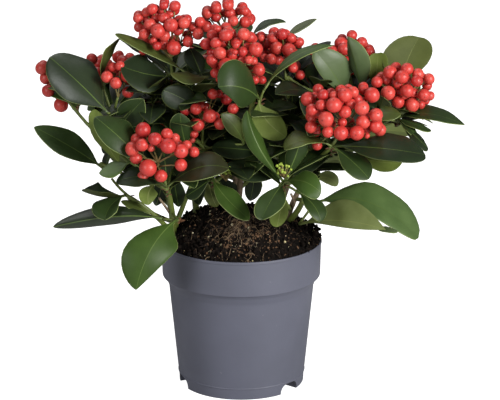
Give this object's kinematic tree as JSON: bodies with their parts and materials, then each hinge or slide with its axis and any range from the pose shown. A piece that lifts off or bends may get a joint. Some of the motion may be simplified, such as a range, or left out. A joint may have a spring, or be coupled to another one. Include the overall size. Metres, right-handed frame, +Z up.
{
  "type": "potted skimmia shrub",
  "caption": "Low fruiting evergreen shrub with broad leaves and clusters of red berries, rooted in soil in a round tapered nursery pot.",
  "frame": {"origin": "centre of the pot's flat underside, on the surface that it stands on", "axes": "+Z up along the pot's axis, -Y towards the front of the plant as pictured, +X to its right"},
  "size_m": [0.3449, 0.2472, 0.3175],
  "materials": {
    "pot": "blue-grey moulded plastic, matte, lightly scuffed",
    "soil": "damp dark peat with fibres and pale grit",
    "bark": "olive green shoots and light brown woody stems",
    "foliage": "leathery satin leaves with pale margins",
    "berry": "smooth satin red berries"
  },
  "bodies": {
    "root": {"pot": "pot", "soil": "soil", "stem_left": "bark", "stem_back_left": "bark", "stem_centre": "bark", "stem_right": "bark", "stem_back_right": "bark", "stem_back": "bark", "bough_hanging": "bark", "bough_low_left": "bark", "bough_left": "bark", "bough_left_lance": "bark", "bough_far_left": "bark", "bough_back_left": "bark", "bough_centre_left": "bark", "bough_top_centre": "bark", "bough_heart": "bark", "bough_middle": "bark", "bough_centre_low": "bark", "bough_right_low": "bark", "bough_crown_right": "bark", "bough_right": "bark", "bough_back_right_low": "bark", "bough_back_low_left": "bark", "bough_back_low_right": "bark", "foliage_front_right": "foliage", "foliage_left_front": "foliage", "foliage_centre_front": "foliage", "foliage_centre_low": "foliage", "foliage_top_left": "foliage", "foliage_top_centre": "foliage", "foliage_crown_right": "foliage", "foliage_right": "foliage", "foliage_back_right": "foliage", "foliage_left": "foliage", "foliage_far_left": "foliage", "foliage_centre_left": "foliage", "foliage_heart": "foliage", "foliage_middle": "foliage", "foliage_back_left": "foliage", "foliage_back": "foliage", "foliage_back_right_low": "foliage", "foliage_back_low_left": "foliage", "foliage_back_low_right": "foliage", "foliage_left_lance": "foliage", "foliage_low_left": "foliage", "foliage_hanging": "foliage", "foliage_right_low": "foliage"}
  },
  "joints": []
}
